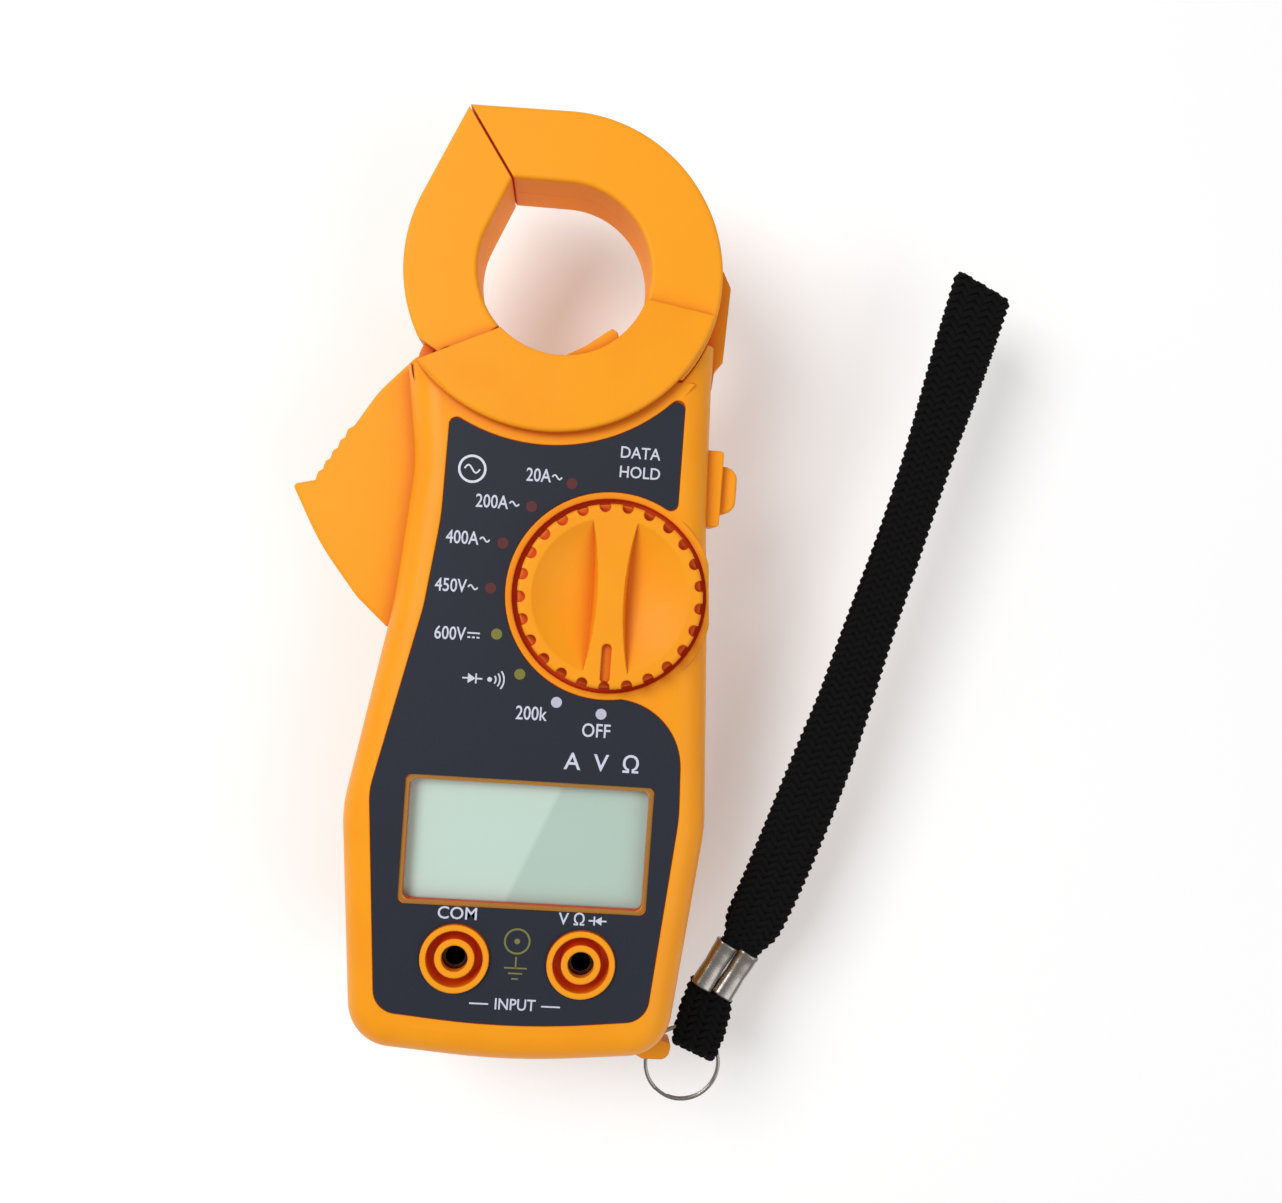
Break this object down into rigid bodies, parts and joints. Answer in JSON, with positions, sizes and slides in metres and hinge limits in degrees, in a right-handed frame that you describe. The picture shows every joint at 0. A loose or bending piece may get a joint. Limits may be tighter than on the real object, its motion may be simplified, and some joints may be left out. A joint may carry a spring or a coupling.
{
  "type": "clamp meter",
  "caption": "Handheld clamp meter: two-shell case, split measuring jaw with side trigger, rotary range knob, display, two probe sockets and a corded wrist loop.",
  "frame": {"origin": "on the flat back face of the case, on the centreline of the body, 70 mm above its lower end", "axes": "+Z out of the display side, +Y towards the tip of the jaw, +X towards the side button"},
  "size_m": [0.1578, 0.2164, 0.034],
  "materials": {
    "black_epoxy": "gloss",
    "black_plastic": "matt",
    "black_webbing": "braided",
    "blue_plastic": "gloss",
    "board_laminate": "solder mask",
    "brass_socket": "turned",
    "can_sleeve": "gloss",
    "cell_jacket": "printed sleeve",
    "clear_lens": "polished",
    "copper_winding": "lacquered wire",
    "core_iron": "laminated",
    "display_glass": "gloss",
    "gold_contact": "plated",
    "nickel_plate": "polished",
    "orange_case": "satin moulded",
    "orange_jaw": "satin moulded",
    "orange_knob": "satin moulded",
    "panel_print": "fine texture",
    "screw_steel": "zinc plated",
    "silicone": "soft",
    "spring_steel": "drawn",
    "steel": "ground",
    "white_plastic": "matt"
  },
  "bodies": {
    "case": {"battery_cells": "cell_jacket", "battery_springs": "spring_steel", "board_screws": "screw_steel", "buzzer": "black_plastic", "capacitors": "can_sleeve", "case_screws": "screw_steel", "chip_blob": "black_epoxy", "com_jack_tube": "brass_socket", "contact_plates": "nickel_plate", "contact_strip": "silicone", "display_frame": "white_plastic", "display_glass": "display_glass", "display_window": "clear_lens", "fixed_coil": "copper_winding", "fixed_core": "core_iron", "fixed_jaw_front": "orange_jaw", "fixed_jaw_rear": "orange_jaw", "fixed_jaw_screws": "screw_steel", "front_case": "orange_case", "hold_switch": "black_plastic", "jaw_spring": "spring_steel", "main_board": "board_laminate", "panel_overlay": "panel_print", "pivot_pin": "steel", "rear_case": "orange_case", "root_screws": "screw_steel", "trimmer": "blue_plastic", "volt_jack_tube": "brass_socket"},
    "jaw": {"moving_jaw_rear": "orange_jaw", "moving_jaw_front": "orange_jaw", "moving_core": "core_iron", "moving_coil": "copper_winding", "moving_jaw_screws": "screw_steel"},
    "knob": {"range_knob": "orange_knob", "switch_rotor": "black_plastic", "detent_balls": "steel", "detent_springs": "spring_steel", "rotor_wipers": "gold_contact", "knob_screw": "screw_steel"},
    "button": {"side_button": "orange_knob"},
    "plunger": {"hold_plunger": "black_plastic"},
    "door": {"battery_door": "orange_case", "door_screw": "screw_steel"},
    "ring": {"split_ring": "nickel_plate"},
    "tether": {"tether_loop": "black_webbing", "ferrules": "nickel_plate"},
    "loop": {"wrist_loop": "black_webbing"}
  },
  "joints": [
    {"name": "jaw_hinge", "type": "hinge", "parent": "case", "child": "jaw", "pos_m": [-0.022, 0.078, 0], "axis": [0, 0, 1], "range_deg": [0, 28]},
    {"name": "knob_turn", "type": "hinge", "parent": "case", "child": "knob", "pos_m": [0.0142, 0.0319, 0.025], "axis": [0, 0, -1], "range_deg": [0, 157.5]},
    {"name": "button_press", "type": "slide", "parent": "case", "child": "button", "axis": [-1, 0, 0], "range_m": [0, 0.0012]},
    {"name": "plunger_press", "type": "slide", "parent": "case", "child": "plunger", "axis": [-1, 0, 0], "range_m": [0, 0.0012]},
    {"name": "door_lift", "type": "slide", "parent": "case", "child": "door", "axis": [0, 0, -1], "range_m": [0, 0.015]},
    {"name": "ring_flip", "type": "hinge", "parent": "case", "child": "ring", "pos_m": [0.03206, -0.07207, 0.0055], "axis": [0.4384, 0.8988, 0], "range_deg": [-30, 45]},
    {"name": "tether_swing", "type": "hinge", "parent": "ring", "child": "tether", "pos_m": [0.0397, -0.0758, 0.0055], "axis": [0, 0, 1], "range_deg": [-150, 0]},
    {"name": "loop_fold", "type": "hinge", "parent": "tether", "child": "loop", "pos_m": [0.0513, -0.0475, 0.0055], "axis": [0.8988, -0.4384, 0], "range_deg": [-50, 30]}
  ],
  "couplings": [
    {"joint": "plunger_press", "follows": "button_press", "ratio": 1}
  ]
}
